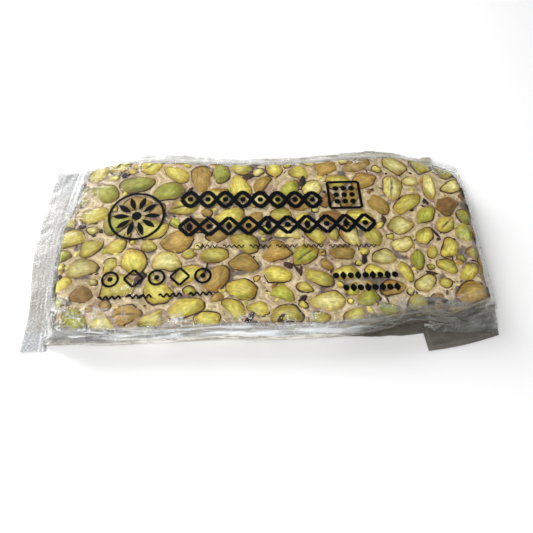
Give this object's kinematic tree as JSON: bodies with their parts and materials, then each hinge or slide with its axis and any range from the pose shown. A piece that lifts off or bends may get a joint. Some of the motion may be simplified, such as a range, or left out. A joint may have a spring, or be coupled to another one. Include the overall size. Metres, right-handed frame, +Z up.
{
  "type": "pistachio nougat bar in a clear film pouch",
  "caption": "Flat rectangular nougat bar full of pistachio kernels, vacuum sealed in a clear film pouch with a flat end seal, a far margin and a folded corner flap.",
  "frame": {"origin": "on the table under the middle of the pouch, at the centre of the overall box's underside", "axes": "+X along the bar from the flat end seal to the folded end, +Y across it away from the flap corner, +Z up through the printed side"},
  "size_m": [0.2254, 0.1144, 0.0155],
  "materials": {
    "clear_film": "clear glossy pouch film drawn tight over the bar",
    "nougat": "pale cream nougat with a dull cut surface",
    "pistachio": "cut and whole pistachio kernels, yellow green to tan",
    "print_ink": "thin near-black ink on the film"
  },
  "bodies": {
    "root": {"sealed_nougat_bar": "clear_film"}
  },
  "joints": []
}
